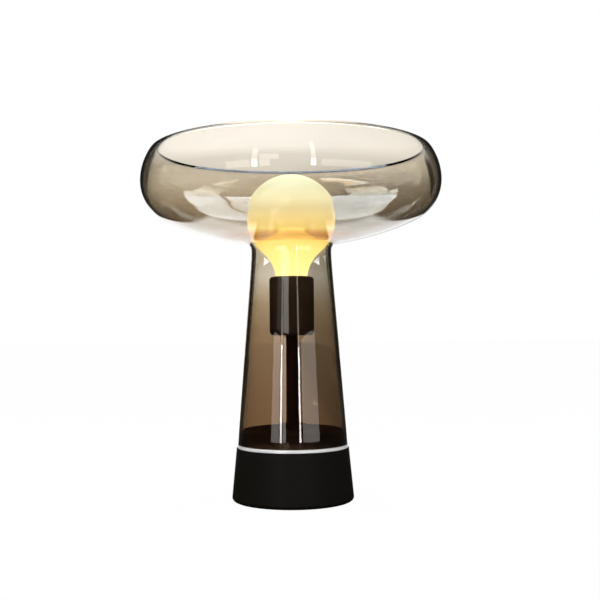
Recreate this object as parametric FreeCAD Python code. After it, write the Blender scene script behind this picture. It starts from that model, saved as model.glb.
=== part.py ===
import FreeCAD, Part

import math
import os

# Mushroom table lamp: a one-piece blown glass column and open bowl on a turned wooden base.
# Millimetres, +Z up, the lamp's axis on Z, the floor at Z = 0 and the cord side at +Y.

# Wooden base
base_height = 48.8
base_foot_r = 55.6
base_top_ledge = 0.9
base_foot_round = 3.2
base_top_round = 0.8
base_roof = 12.0
base_wall = 13.6

# Foot pad, bottom cover and its screws
pad_thickness = 1.5
pad_inset = 6.9
pad_proud = 0.8
cover_thickness = 2.0
cover_inset = 8.2
cover_gap = 0.3
cover_screw_count = 3
cover_screw_head_r = 2.3
cover_screw_head_depth = 1.3
cover_screw_shank_r = 1.3
cover_screw_length = 14.0

# Ballast disc
ballast_gap = 0.6
ballast_thickness = 12.0
ballast_chamfer = 1.2

# Threaded tube parts shared by the stem and the lampholder
nipple_r = 4.0
nipple_bore_r = 3.0
thread_gap = 0.06
hole_gap = 0.2
nut_across_flats = 13.0
foot_nut_height = 4.0
lock_nut_height = 3.0
washer_r = 12.0
washer_thickness = 1.5
nipple_below_nut = 2.5
nipple_in_tube = 16.0

# Polished seat ring and clear gasket under the glass
ring_height = 2.3
ring_inset = 0.1
ring_edge_round = 0.5
gasket_height = 0.5
gasket_inset = 0.35

# Glass: tapered column, neck, bowl and turned-in rim
glass_wall = 2.6
column_foot_r = 50.1
column_neck_r = 35.6
neck_to_bulb = 1.8
neck_round = 8.0
neck_slope = math.radians(7.5)
belly_slope = math.radians(24.5)
bowl_r = 135.5
bowl_rise = 61.5
belly_round = 36.2
shoulder_round = 48.2
shoulder_turn = math.radians(34.6)
rim_round = 8.0
rim_inner_r = 118.8

# Moulded cap on the base that centres the glass
locator_height = 16.5
locator_wall = 3.0
locator_gap = 0.5
locator_edge_round = 1.6
locator_boss_r = 9.0
locator_rib_count = 6
locator_rib_thickness = 2.0

# Stem
collar_r = 12.5
collar_height = 4.7
collar_round = 0.9
collar_socket = 2.6
tube_r = 5.5
tube_length = 82.5
tube_gap = 0.1

# Lampholder for an E27 cap
holder_r = 20.2
holder_height = 53.0
holder_wall = 2.4
holder_floor = 3.0
holder_foot_round = 4.0
holder_top_round = 3.0
holder_mouth_r = 16.5
holder_mouth_lip = 2.6
holder_split = 18.4
holder_spigot = 6.0
holder_fit = 0.1
insert_thickness = 8.0
insert_boss_height = 4.0
insert_top_in_holder = 20.2
insert_gap = 0.2
insert_ledge = 2.1
screw_shell_gap = 0.4
screw_shell_wall = 0.5
screw_shell_height = 27.0
contact_strip_length = 15.0
contact_strip_width = 6.0
contact_strip_thickness = 0.8
contact_strip_rise = 2.2
terminal_width = 6.0
terminal_depth = 5.0
terminal_drop = 4.8
terminal_gap = 1.7
terminal_screw_head_r = 2.2
terminal_screw_head_height = 1.5
terminal_screw_shank_r = 1.2

# Bulb: G80 globe on an E27 cap
bulb_r = 39.9
bulb_glass = 0.9
bulb_length = 118.6
bulb_neck_r = 14.2
bulb_neck_end_up = 23.4
bulb_cap_r = 13.0
bulb_cap_wall = 0.45
bulb_cap_top_up = 22.0
bulb_cap_foot_up = 4.5
bulb_cap_bevel = 1.7
tip_r = 4.8
tip_height = 1.4
insulator_tip_r = 5.6
bulb_contact_gap = 0.3
bulb_part_gap = 0.08
mount_flare_height = 6.0
mount_tube_r = 3.4
mount_height = 40.0
mount_pinch_height = 7.0
filament_count = 6
filament_r = 1.0
filament_length = 38.0
filament_circle_foot_r = 5.0
filament_circle_top_r = 12.0
support_wire_r = 0.45

# Cord entry at the rear
gland_height = 14.2
gland_bore_r = 3.6
gland_body_r = 5.8
gland_flange_r = 8.0
gland_flange_thickness = 1.5
gland_flange_sunk = 1.6
gland_inside_length = 2.5

# Terminal block and the two inner leads
block_length = 17.0
block_width = 16.0
block_height = 12.0
block_start_x = 16.0
block_pole_pitch = 8.0
block_wire_drop = 6.0
block_wire_hole_r = 1.7
block_screw_r = 1.8
block_screw_inset = 4.5
block_screw_length = 3.2
block_fixing_r = 1.5
block_fixing_head_r = 2.8
block_fixing_head_height = 1.8
block_fixing_grip = 7.0
lead_r = 1.1
lead_gap = 0.4
lead_bend_low_z = 9.0
lead_rise_x = 9.6
lead_in_block = 2.5
lead_in_terminal = 1.6

# Levels worked out from the sizes above
base_bottom_z = pad_proud
cover_z = pad_thickness
cavity_floor_z = cover_z + cover_thickness
base_top_z = base_height
cover_r = base_foot_r - cover_inset
pad_r = cover_r - pad_inset
cavity_r = base_foot_r - base_wall
ballast_r = cavity_r - ballast_gap
cover_screw_circle_r = (cavity_r + cover_r) / 2.0
ring_outer_r = column_foot_r - ring_inset
ring_inner_r = ring_outer_r - glass_wall
base_top_r = ring_outer_r + base_top_ledge
base_slope = (base_foot_r - base_top_r) / base_height
gland_flange_seat_y = base_foot_r - base_slope * gland_height - gland_flange_sunk
roof_z = base_top_z - base_roof
ballast_z = roof_z - ballast_thickness
washer_z = ballast_z - washer_thickness
foot_nut_z = washer_z - foot_nut_height
nipple_foot_z = foot_nut_z - nipple_below_nut
gasket_z = base_top_z + ring_height
seat_z = gasket_z + gasket_height
locator_top_z = base_top_z + locator_height
collar_top_z = locator_top_z + collar_height
tube_foot_z = collar_top_z - collar_socket
tube_top_z = tube_foot_z + tube_length
holder_z = tube_top_z
holder_top_z = holder_z + holder_height
split_z = holder_z + holder_split
insert_top_z = holder_z + insert_top_in_holder
insert_z = insert_top_z - insert_thickness
boss_top_z = insert_top_z + insert_boss_height
contact_top_z = boss_top_z + contact_strip_rise
bulb_tip_z = contact_top_z + bulb_contact_gap
bulb_centre_z = bulb_tip_z + bulb_length - bulb_r
neck_centre_r = column_neck_r + neck_round
bulb_to_neck_centre = bulb_r + neck_to_bulb + glass_wall + neck_round
neck_z = bulb_centre_z - math.sqrt(bulb_to_neck_centre ** 2 - neck_centre_r ** 2)
column_height = neck_z - seat_z
bowl_widest_z = neck_z + bowl_rise
screw_shell_r = bulb_cap_r + screw_shell_gap
lock_nut_z = holder_z + holder_floor
holder_nipple_top_z = lock_nut_z + lock_nut_height + 0.6
holder_cavity_r = holder_r - holder_wall
insert_r = holder_cavity_r - insert_gap
terminal_reach = holder_cavity_r - insert_ledge - terminal_gap - terminal_depth
lead_spacing = 2.0 * lead_r + lead_gap
terminal_z = insert_z - terminal_drop
lead_level_z = insert_z - terminal_drop / 2.0
terminal_screw_top_z = lead_level_z - lead_r - thread_gap
block_z = ballast_z - block_height
block_wire_z = ballast_z - block_wire_drop

AXIS = FreeCAD.Vector(0, 0, 1)
ORIGIN = FreeCAD.Vector(0, 0, 0)


def at(r, z):
    """A point of a turned outline, at radius r and height z."""
    return FreeCAD.Vector(r, 0, z)


def turned(edges):
    """The solid that a closed outline sweeps when it is turned about the lamp's axis."""
    face = Part.Face(Part.Wire(edges))
    return Part.Solid(face.revolve(ORIGIN, AXIS, 360))


def turned_polygon(points):
    """A turned solid whose outline is straight lines through (r, z) points."""
    corners = [at(r, z) for r, z in points]
    corners.append(corners[0])
    wire = Part.makePolygon(corners)
    return Part.Solid(Part.Face(wire).revolve(ORIGIN, AXIS, 360))


def disc(radius, z_low, z_high):
    return Part.makeCylinder(radius, z_high - z_low, at(0, z_low), AXIS)


def ring(inner_r, outer_r, z_low, z_high):
    return disc(outer_r, z_low, z_high).cut(disc(inner_r, z_low - 1, z_high + 1))


def line(r0, z0, r1, z1):
    return Part.LineSegment(at(r0, z0), at(r1, z1)).toShape()


def arc(centre, radius, start, end):
    """An outline arc about centre (r, z), from the start angle to the end angle in radians."""
    points = []
    for angle in (start, (start + end) / 2.0, end):
        points.append(at(centre[0] + radius * math.cos(angle), centre[1] + radius * math.sin(angle)))
    return Part.Arc(points[0], points[1], points[2]).toShape()


def round_at(solid, radius, z, least_r=0.0):
    """Rounds the circular edges that lie at height z and outside least_r."""
    edges = []
    for edge in solid.Edges:
        box = edge.BoundBox
        level = abs(box.ZMin - z) < 0.001 and abs(box.ZMax - z) < 0.001
        if level and box.XMax > least_r and box.XMax - box.XMin > least_r:
            edges.append(edge)
    return solid.makeFillet(radius, edges)


def hexagon(across_flats, z_low, z_high):
    corner_r = across_flats / math.sqrt(3.0)
    corners = []
    for step in range(7):
        angle = math.radians(60 * step + 30)
        corners.append(FreeCAD.Vector(corner_r * math.cos(angle), corner_r * math.sin(angle), z_low))
    face = Part.Face(Part.makePolygon(corners))
    return face.extrude(FreeCAD.Vector(0, 0, z_high - z_low))


def on_circle(radius, index, count, start=0.0):
    """The x and y of one of several places spaced evenly round the axis."""
    angle = start + 2.0 * math.pi * index / count
    return radius * math.cos(angle), radius * math.sin(angle)


def moved(shape, x, y, z=0.0):
    copy = shape.copy()
    copy.translate(FreeCAD.Vector(x, y, z))
    return copy


def tube_along(points, radius):
    """A round tube along straight runs, each corner an arc of 0.45 of its shorter run."""
    edges = []
    start = points[0]
    for index in range(1, len(points) - 1):
        corner = points[index]
        back = points[index - 1].sub(corner)
        ahead = points[index + 1].sub(corner)
        reach = 0.45 * min(back.Length, ahead.Length)
        back.normalize()
        ahead.normalize()
        first = corner.add(back * reach)
        last = corner.add(ahead * reach)
        half_turn = (math.pi - back.getAngle(ahead)) / 2.0
        bend_r = reach / math.tan(half_turn)
        inward = back.add(ahead)
        inward.normalize()
        to_centre = bend_r / math.cos(half_turn)
        print("lead bend radius %.2f mm" % bend_r)
        middle = corner.add(inward * (to_centre - bend_r))
        edges.append(Part.LineSegment(start, first).toShape())
        edges.append(Part.Arc(first, middle, last).toShape())
        start = last
    edges.append(Part.LineSegment(start, points[-1]).toShape())
    path = Part.Wire(edges)
    direction = points[1].sub(points[0])
    section = Part.Wire([Part.makeCircle(radius, points[0], direction)])
    tube = path.makePipeShell([section], True, False)
    return tube


def glass_inner_r(z):
    """The column's inner radius at height z."""
    taper = math.atan2(column_foot_r - column_neck_r, column_height)
    outer_r = column_foot_r - (z - seat_z) * math.tan(taper)
    return outer_r - glass_wall / math.cos(taper)


def gland_hole(radius, y_low, y_high):
    start = FreeCAD.Vector(0, y_low, gland_height)
    return Part.makeCylinder(radius, y_high - y_low, start, FreeCAD.Vector(0, 1, 0))


def make_base_turning():
    """Turned wooden base: hollow below, with a rebate for the cover and a rear hole for the cord."""
    bottom_r = base_foot_r - base_slope * base_bottom_z
    height = base_top_z - base_bottom_z
    body = Part.makeCone(bottom_r, base_top_r, height, at(0, base_bottom_z), AXIS)
    body = round_at(body, base_foot_round, base_bottom_z)
    body = round_at(body, base_top_round, base_top_z)
    body = body.cut(disc(cover_r + cover_gap, base_bottom_z - 1, cavity_floor_z))
    body = body.cut(disc(cavity_r, base_bottom_z - 1, roof_z))
    body = body.cut(disc(nipple_r + hole_gap, roof_z - 1, base_top_z + 1))
    body = body.cut(gland_hole(gland_body_r + hole_gap, cavity_r - 4, base_foot_r + 1))
    body = body.cut(gland_hole(gland_flange_r + hole_gap, gland_flange_seat_y, base_foot_r + 1))
    for index in range(cover_screw_count):
        x, y = on_circle(cover_screw_circle_r, index, cover_screw_count, math.radians(30))
        hole_top = cover_z + cover_screw_length + 1.0
        hole = disc(cover_screw_shank_r + thread_gap, base_bottom_z, hole_top)
        body = body.cut(moved(hole, x, y))
    return body


def make_ballast_disc():
    """Cast disc that weighs the base down, held up against the roof of the hollow."""
    outline = [
        (nipple_r + hole_gap, ballast_z),
        (ballast_r - ballast_chamfer, ballast_z),
        (ballast_r, ballast_z + ballast_chamfer),
        (ballast_r, roof_z - ballast_chamfer),
        (ballast_r - ballast_chamfer, roof_z),
        (nipple_r + hole_gap, roof_z),
    ]
    body = turned_polygon(outline)
    tapped = disc(block_fixing_r + thread_gap, ballast_z - 1, ballast_z + block_fixing_grip + 1)
    return body.cut(moved(tapped, block_start_x + block_length / 2.0, 0))


def make_bottom_cover():
    """Pressed steel plate that closes the hollow, countersunk for its screws."""
    plate = disc(cover_r, cover_z, cavity_floor_z)
    for index in range(cover_screw_count):
        x, y = on_circle(cover_screw_circle_r, index, cover_screw_count, math.radians(30))
        plate = plate.cut(moved(cover_screw(hole_gap / 2.0), x, y))
    return plate


def cover_screw(grow):
    """One countersunk wood screw, grown all round by a clearance to cut its own hole."""
    head_r = cover_screw_head_r + grow
    shank_r = cover_screw_shank_r + grow
    head_z = cover_z + cover_screw_head_depth
    outline = [
        (0, cover_z),
        (head_r, cover_z),
        (shank_r, head_z),
        (shank_r, cover_z + cover_screw_length - 2.0),
        (0, cover_z + cover_screw_length),
    ]
    return turned_polygon(outline)


def make_cover_screws():
    screws = []
    for index in range(cover_screw_count):
        x, y = on_circle(cover_screw_circle_r, index, cover_screw_count, math.radians(30))
        screws.append(moved(cover_screw(0.0), x, y))
    return Part.makeCompound(screws)


def make_foot_pad():
    return disc(pad_r, 0, pad_thickness)


def make_stem_nipple():
    top_z = tube_foot_z + nipple_in_tube
    return ring(nipple_bore_r, nipple_r, nipple_foot_z, top_z)


def make_nipple_washer():
    return ring(nipple_r + hole_gap, washer_r, washer_z, ballast_z)


def make_nipple_nut():
    body = hexagon(nut_across_flats, foot_nut_z, washer_z)
    return body.cut(disc(nipple_r + thread_gap, foot_nut_z - 1, washer_z + 1))


def make_seat_ring():
    """Polished ring that shows as a bright line between the wood and the glass."""
    body = ring(ring_inner_r, ring_outer_r, base_top_z, gasket_z)
    return round_at(body, ring_edge_round, gasket_z, ring_inner_r)


def make_seat_gasket():
    inner_r = ring_inner_r + gasket_inset
    outer_r = ring_outer_r - ring_edge_round - gasket_inset
    return ring(inner_r, outer_r, gasket_z, seat_z)


def glass_arcs():
    """Centres and ends of the arcs that make the outside of the glass, from neck to rim."""
    widest_z = bowl_widest_z
    taper = math.atan2(column_foot_r - column_neck_r, column_height)
    belly = (bowl_r - belly_round, widest_z)
    belly_foot = (
        belly[0] + belly_round * math.sin(belly_slope),
        belly[1] - belly_round * math.cos(belly_slope),
    )
    # The underside is the arc that meets the belly and leaves the neck round at the column.
    across = math.sin(neck_slope) - math.sin(belly_slope)
    along = math.cos(belly_slope) - math.cos(neck_slope)
    start_r = belly_foot[0] + neck_round * math.sin(neck_slope) - column_foot_r
    start_z = belly_foot[1] - neck_round * math.cos(neck_slope) - seat_z
    reach = start_r * math.cos(taper) + start_z * math.sin(taper)
    under_round = (neck_round - reach) / (across * math.cos(taper) + along * math.sin(taper))
    under = (
        belly_foot[0] - under_round * math.sin(belly_slope),
        belly_foot[1] + under_round * math.cos(belly_slope),
    )
    neck = (
        under[0] + (under_round + neck_round) * math.sin(neck_slope),
        under[1] - (under_round + neck_round) * math.cos(neck_slope),
    )
    shoulder = (bowl_r - shoulder_round, widest_z)
    rim = (
        shoulder[0] + (shoulder_round - rim_round) * math.cos(shoulder_turn),
        shoulder[1] + (shoulder_round - rim_round) * math.sin(shoulder_turn),
    )
    return taper, neck, under, under_round, belly, shoulder, rim


def glass_side(inset):
    """One side of the glass wall as edges from foot to rim, inset from the outer face."""
    taper, neck, under, under_round, belly, shoulder, rim = glass_arcs()
    quarter = math.pi / 2.0
    foot_r = column_foot_r - inset / math.cos(taper)
    neck_turn = neck_round + inset
    neck_foot = (neck[0] - neck_turn * math.cos(taper), neck[1] - neck_turn * math.sin(taper))
    rim_end_r = rim_inner_r + glass_wall / 2.0
    rim_top = rim[1] + rim_round - inset
    edges = [
        line(foot_r, seat_z, neck_foot[0], neck_foot[1]),
        arc(neck, neck_turn, math.pi + taper, quarter + neck_slope),
        arc(under, under_round - inset, neck_slope - quarter, belly_slope - quarter),
        arc(belly, belly_round - inset, belly_slope - quarter, 0.0),
        arc(shoulder, shoulder_round - inset, 0.0, shoulder_turn),
        arc(rim, rim_round - inset, shoulder_turn, quarter),
        line(rim[0], rim_top, rim_end_r, rim_top),
    ]
    return edges, (foot_r, seat_z), (rim_end_r, rim_top)


def make_glass_body():
    """Blown in one piece: tapered column, drawn-out neck, open bowl and turned-in rim."""
    outer, outer_foot, outer_rim = glass_side(0.0)
    inner, inner_foot, inner_rim = glass_side(glass_wall)
    half_wall = glass_wall / 2.0
    rim_centre = (outer_rim[0], outer_rim[1] - half_wall)
    rim_end = arc(rim_centre, half_wall, math.pi / 2.0, 1.5 * math.pi)
    foot = line(inner_foot[0], inner_foot[1], outer_foot[0], outer_foot[1])
    outline = Part.__sortEdges__(outer + [rim_end] + inner + [foot])
    return turned(outline)


def locator_r(z):
    return glass_inner_r(z) - locator_gap


def make_glass_locator():
    """Moulded cap that the glass drops over: a tapered shell with a centre boss and ribs."""
    low_r = locator_r(base_top_z)
    high_r = locator_r(locator_top_z)
    body = Part.makeCone(low_r, high_r, locator_height, at(0, base_top_z), AXIS)
    body = round_at(body, locator_edge_round, locator_top_z)
    roof = locator_top_z - locator_wall
    inside = Part.makeCone(
        low_r - locator_wall, locator_r(roof) - locator_wall, locator_height - locator_wall,
        at(0, base_top_z), AXIS,
    )
    ribs = []
    rib_reach = locator_r(roof) - locator_wall + 1.0
    for index in range(locator_rib_count):
        rib = Part.makeBox(
            rib_reach, locator_rib_thickness, locator_height - locator_wall,
            FreeCAD.Vector(0, -locator_rib_thickness / 2.0, base_top_z),
        )
        rib.rotate(ORIGIN, AXIS, 360.0 * index / locator_rib_count + 30.0)
        ribs.append(rib)
    boss = disc(locator_boss_r, base_top_z, roof)
    hollow = inside.cut(boss)
    for rib in ribs:
        hollow = hollow.cut(rib)
    body = body.cut(hollow)
    return body.cut(disc(nipple_r + hole_gap, base_top_z - 1, locator_top_z + 1))


def make_stem_collar():
    """Turned collar that the stem tube stands in, clamped down on the locator."""
    body = disc(collar_r, locator_top_z, collar_top_z)
    body = round_at(body, collar_round, collar_top_z)
    body = body.cut(disc(nipple_r + hole_gap, locator_top_z - 1, collar_top_z + 1))
    return body.cut(disc(tube_r + tube_gap, tube_foot_z, collar_top_z + 1))


def make_stem_tube():
    return ring(nipple_r + thread_gap, tube_r, tube_foot_z, tube_top_z)


def make_holder_nipple():
    return ring(nipple_bore_r, nipple_r, tube_top_z - nipple_in_tube, holder_nipple_top_z)


def make_holder_lock_nut():
    body = hexagon(nut_across_flats, lock_nut_z, lock_nut_z + lock_nut_height)
    return body.cut(disc(nipple_r + thread_gap, lock_nut_z - 1, lock_nut_z + lock_nut_height + 1))


def make_holder_cap():
    """Lower half of the lampholder: a moulded cup with a ledge for the insert and a spigot."""
    body = disc(holder_r, holder_z, split_z)
    body = round_at(body, holder_foot_round, holder_z)
    spigot_r = holder_r - holder_wall / 2.0
    body = body.fuse(disc(spigot_r, split_z - 1, split_z + holder_spigot))
    body = body.cut(disc(holder_cavity_r, insert_z, split_z + holder_spigot + 1))
    body = body.cut(disc(holder_cavity_r - insert_ledge, lock_nut_z, insert_z + 1))
    body = body.cut(disc(nipple_r + hole_gap / 2.0, holder_z - 1, lock_nut_z + 1))
    return body.removeSplitter()


def make_holder_skirt():
    """Upper half of the lampholder: a sleeve with a turned-in mouth, screwed on the cap's spigot."""
    spigot_r = holder_r - holder_wall / 2.0
    body = disc(holder_r, split_z, holder_top_z)
    body = round_at(body, holder_top_round, holder_top_z)
    body = body.cut(disc(spigot_r + holder_fit, split_z - 1, split_z + holder_spigot + holder_fit))
    body = body.cut(disc(holder_cavity_r, split_z, holder_top_z - holder_mouth_lip))
    return body.cut(disc(holder_mouth_r, split_z, holder_top_z + 1))


def make_holder_insert():
    """Porcelain insert: a disc on the cap's ledge, with a boss for the shell and the contact."""
    shell_gap = screw_shell_r - holder_fit
    body = disc(insert_r, insert_z, insert_top_z)
    return body.fuse(disc(shell_gap, insert_top_z, boss_top_z)).removeSplitter()


def make_holder_screw_shell():
    outer_r = screw_shell_r + screw_shell_wall
    return ring(screw_shell_r, outer_r, insert_top_z, insert_top_z + screw_shell_height)


def make_holder_centre_contact():
    """Brass strip on the boss, bent up in a low arch under the bulb's tip."""
    half_length = contact_strip_length / 2.0
    foot_length = half_length / 3.0
    low = boss_top_z
    thick = contact_strip_thickness
    rise = contact_strip_rise - thick
    crown = half_length / 4.0
    outline = [
        (-half_length, low), (-half_length + foot_length, low), (-crown, low + rise),
        (crown, low + rise), (half_length - foot_length, low), (half_length, low),
        (half_length, low + thick), (half_length - foot_length, low + thick),
        (crown, low + rise + thick), (-crown, low + rise + thick),
        (-half_length + foot_length, low + thick), (-half_length, low + thick),
    ]
    half_width = contact_strip_width / 2.0
    corners = [FreeCAD.Vector(x, -half_width, z) for x, z in outline]
    corners.append(corners[0])
    face = Part.Face(Part.makePolygon(corners))
    return face.extrude(FreeCAD.Vector(0, contact_strip_width, 0))


def terminal_centre_y(side):
    return side * (terminal_reach + terminal_depth / 2.0)


def holder_terminal_screw(side, grow):
    y = terminal_centre_y(side)
    head_z = terminal_z - terminal_screw_head_height
    shank = disc(terminal_screw_shank_r + grow, terminal_z - 1, terminal_screw_top_z)
    head = disc(terminal_screw_head_r, head_z, terminal_z)
    return moved(head.fuse(shank), 0, y)


def make_holder_terminals():
    """Two brass blocks under the insert, each bored for a lead and tapped for its screw."""
    blocks = []
    for side in (-1, 1):
        low_y = terminal_centre_y(side) - terminal_depth / 2.0
        corner = FreeCAD.Vector(-terminal_width / 2.0, low_y, terminal_z)
        block = Part.makeBox(terminal_width, terminal_depth, terminal_drop, corner)
        block = block.cut(holder_terminal_screw(side, thread_gap))
        mouth = FreeCAD.Vector(0, side * (terminal_reach - 1.0), lead_level_z)
        depth = lead_in_terminal + 1.0 + thread_gap
        bore = Part.makeCylinder(lead_r + thread_gap, depth, mouth, FreeCAD.Vector(0, side, 0))
        blocks.append(block.cut(bore))
    return Part.makeCompound(blocks)


def make_holder_terminal_screws():
    return Part.makeCompound([holder_terminal_screw(-1, 0.0), holder_terminal_screw(1, 0.0)])


def globe_side(inset):
    """Half outline of the globe from its top to the neck's end, inset from the outer face."""
    neck_end_z = bulb_tip_z + bulb_neck_end_up
    drop = bulb_centre_z - neck_end_z
    spare = drop ** 2 + bulb_neck_r ** 2 - bulb_r ** 2
    flare = spare / (2.0 * (bulb_r - bulb_neck_r))
    lean = math.atan2(drop, bulb_neck_r + flare)
    ball = arc((0.0, bulb_centre_z), bulb_r - inset, math.pi / 2.0, -lean)
    neck = arc((bulb_neck_r + flare, neck_end_z), flare + inset, math.pi - lean, math.pi)
    end_r = bulb_neck_r - inset
    root_r = bulb_cap_r - bulb_cap_wall - bulb_part_gap - inset
    cap_top_z = bulb_tip_z + bulb_cap_top_up
    root_z = cap_top_z - 3.0
    taper = line(end_r, neck_end_z, root_r, cap_top_z)
    root = line(root_r, cap_top_z, root_r, root_z)
    return [ball, neck, taper, root], (root_r, root_z)


def make_bulb_globe():
    """Blown globe with a drawn neck that is cemented in the cap."""
    outer, outer_root = globe_side(0.0)
    inner, inner_root = globe_side(bulb_glass)
    top = line(0.0, bulb_centre_z + bulb_r, 0.0, bulb_centre_z + bulb_r - bulb_glass)
    root = line(outer_root[0], outer_root[1], inner_root[0], inner_root[1])
    return turned(Part.__sortEdges__(outer + inner + [top, root]))


def make_bulb_cap_shell():
    foot_z = bulb_tip_z + bulb_cap_foot_up
    top_z = bulb_tip_z + bulb_cap_top_up
    inner_r = bulb_cap_r - bulb_cap_wall
    outline = [
        (bulb_cap_r - bulb_cap_bevel, foot_z),
        (bulb_cap_r, foot_z + bulb_cap_bevel),
        (bulb_cap_r, top_z),
        (inner_r, top_z),
        (inner_r, foot_z + bulb_cap_bevel + bulb_cap_wall / 2.0),
        (inner_r - bulb_cap_bevel, foot_z + bulb_cap_wall / 2.0),
        (inner_r - bulb_cap_bevel, foot_z),
    ]
    return turned_polygon(outline)


def make_bulb_cap_insulator():
    """Black glass cone between the shell and the tip contact."""
    low_z = bulb_tip_z + tip_height + bulb_part_gap
    foot_z = bulb_tip_z + bulb_cap_foot_up
    wide_r = bulb_cap_r - bulb_cap_wall - bulb_cap_bevel - bulb_part_gap
    outline = [
        (0, low_z),
        (insulator_tip_r, low_z),
        (wide_r, foot_z - bulb_part_gap),
        (wide_r, foot_z + bulb_cap_bevel),
        (0, foot_z + bulb_cap_bevel),
    ]
    return turned_polygon(outline)


def make_bulb_tip_contact():
    top_z = bulb_tip_z + tip_height
    chord = tip_height * 0.6
    dome_r = (tip_r ** 2 + chord ** 2) / (2.0 * chord)
    half = math.asin(tip_r / dome_r)
    centre = (0.0, bulb_tip_z + dome_r)
    dome = arc(centre, dome_r, -math.pi / 2.0, half - math.pi / 2.0)
    side = line(tip_r, bulb_tip_z + chord, tip_r, top_z)
    top = line(tip_r, top_z, 0.0, top_z)
    back = line(0.0, top_z, 0.0, bulb_tip_z)
    return turned(Part.__sortEdges__([dome, side, top, back]))


def mount_levels():
    """Foot, pinch and top heights of the glass mount inside the globe."""
    foot_z = bulb_tip_z + bulb_cap_top_up - 3.0
    return foot_z, foot_z + mount_height - mount_pinch_height, foot_z + mount_height


def make_bulb_mount():
    """Glass mount sealed in the neck: a flared foot, a tube and a flat pinch that holds the wires."""
    foot_z, pinch_z, top_z = mount_levels()
    flare_r = bulb_cap_r - bulb_cap_wall - bulb_glass - 2.0 * bulb_part_gap
    outline = [
        (0, foot_z),
        (flare_r, foot_z),
        (flare_r, foot_z + bulb_glass),
        (mount_tube_r + 1.0, foot_z + mount_flare_height),
        (mount_tube_r, foot_z + mount_flare_height + 4.0),
        (mount_tube_r, pinch_z),
        (mount_tube_r / 2.0, top_z),
        (0, top_z),
    ]
    return turned_polygon(outline)


def filament_ends(index):
    _, _, top_z = mount_levels()
    low_z = top_z + 4.0
    low_x, low_y = on_circle(filament_circle_foot_r, index, filament_count)
    rise = math.sqrt(filament_length ** 2 - (filament_circle_top_r - filament_circle_foot_r) ** 2)
    high_x, high_y = on_circle(filament_circle_top_r, index, filament_count)
    low = FreeCAD.Vector(low_x, low_y, low_z)
    return low, FreeCAD.Vector(high_x, high_y, low_z + rise)


def make_bulb_filaments():
    rods = []
    for index in range(filament_count):
        low, high = filament_ends(index)
        direction = high.sub(low)
        rods.append(Part.makeCylinder(filament_r, filament_length, low, direction))
    return Part.makeCompound(rods)


def wire_between(start, end, radius):
    return Part.makeCylinder(radius, end.sub(start).Length, start, end.sub(start))


def make_bulb_support_wires():
    """Wire spider on the mount, one arm to the foot of each filament."""
    _, _, top_z = mount_levels()
    hub_r = support_wire_r * 2.0
    spider = disc(hub_r, top_z, top_z + 2.0)
    hub = at(0, top_z + 1.0)
    for index in range(filament_count):
        low, high = filament_ends(index)
        along = high.sub(low)
        along.normalize()
        end = low.sub(along * (support_wire_r + bulb_part_gap))
        spider = spider.fuse(wire_between(hub, end, support_wire_r))
    return spider


def make_cord_gland():
    """Push-in bush for the supply cord: flange outside, body through the wood, bore right through."""
    inner_y = cavity_r - gland_inside_length
    body = gland_hole(gland_body_r, inner_y, gland_flange_seat_y + 1)
    outer_y = gland_flange_seat_y + gland_flange_thickness
    body = body.fuse(gland_hole(gland_flange_r, gland_flange_seat_y, outer_y))
    return body.cut(gland_hole(gland_bore_r, inner_y - 1, outer_y + 1)).removeSplitter()


def block_pole_places():
    places = []
    for side in (-1, 1):
        for x in (block_start_x + block_screw_inset, block_start_x + block_length - block_screw_inset):
            places.append((x, side * block_pole_pitch / 2.0))
    return places


def block_fixing(grow):
    head_top = block_z + block_fixing_head_height
    head = disc(block_fixing_head_r + grow, block_z, head_top)
    shank = disc(block_fixing_r + grow, block_z, ballast_z + block_fixing_grip)
    return moved(head.fuse(shank), block_start_x + block_length / 2.0, 0)


def make_terminal_block():
    """Two-pole block under the ballast, bored for the wires, the clamp screws and its fixing."""
    corner = FreeCAD.Vector(block_start_x, -block_width / 2.0, block_z)
    block = Part.makeBox(block_length, block_width, block_height, corner)
    for side in (-1, 1):
        start = FreeCAD.Vector(block_start_x - 1, side * block_pole_pitch / 2.0, block_wire_z)
        bore = Part.makeCylinder(block_wire_hole_r, block_length + 2, start, FreeCAD.Vector(1, 0, 0))
        block = block.cut(bore)
    for x, y in block_pole_places():
        block = block.cut(moved(disc(block_screw_r + hole_gap / 2.0, block_z - 1, block_wire_z), x, y))
    block = block.cut(block_fixing(hole_gap / 2.0))
    return block


def make_terminal_screws():
    screws = []
    for x, y in block_pole_places():
        top_z = block_wire_z - block_wire_hole_r
        screws.append(moved(disc(block_screw_r, top_z - block_screw_length, top_z), x, y))
    return Part.makeCompound(screws)


def make_block_fixing_screw():
    return block_fixing(0.0)


def make_lead(side):
    """One insulated lead, from the terminal block up through the stem to the lampholder."""
    y = side * lead_spacing / 2.0
    block_y = side * block_pole_pitch / 2.0
    end_y = side * (terminal_reach + lead_in_terminal)
    points = [
        FreeCAD.Vector(block_start_x + lead_in_block, block_y, block_wire_z),
        FreeCAD.Vector(lead_rise_x, block_y, block_wire_z),
        FreeCAD.Vector(lead_rise_x, block_y, lead_bend_low_z),
        FreeCAD.Vector(0, y, lead_bend_low_z),
        FreeCAD.Vector(0, y, lead_level_z),
        FreeCAD.Vector(0, end_y, lead_level_z),
    ]
    return tube_along(points, lead_r)


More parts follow.
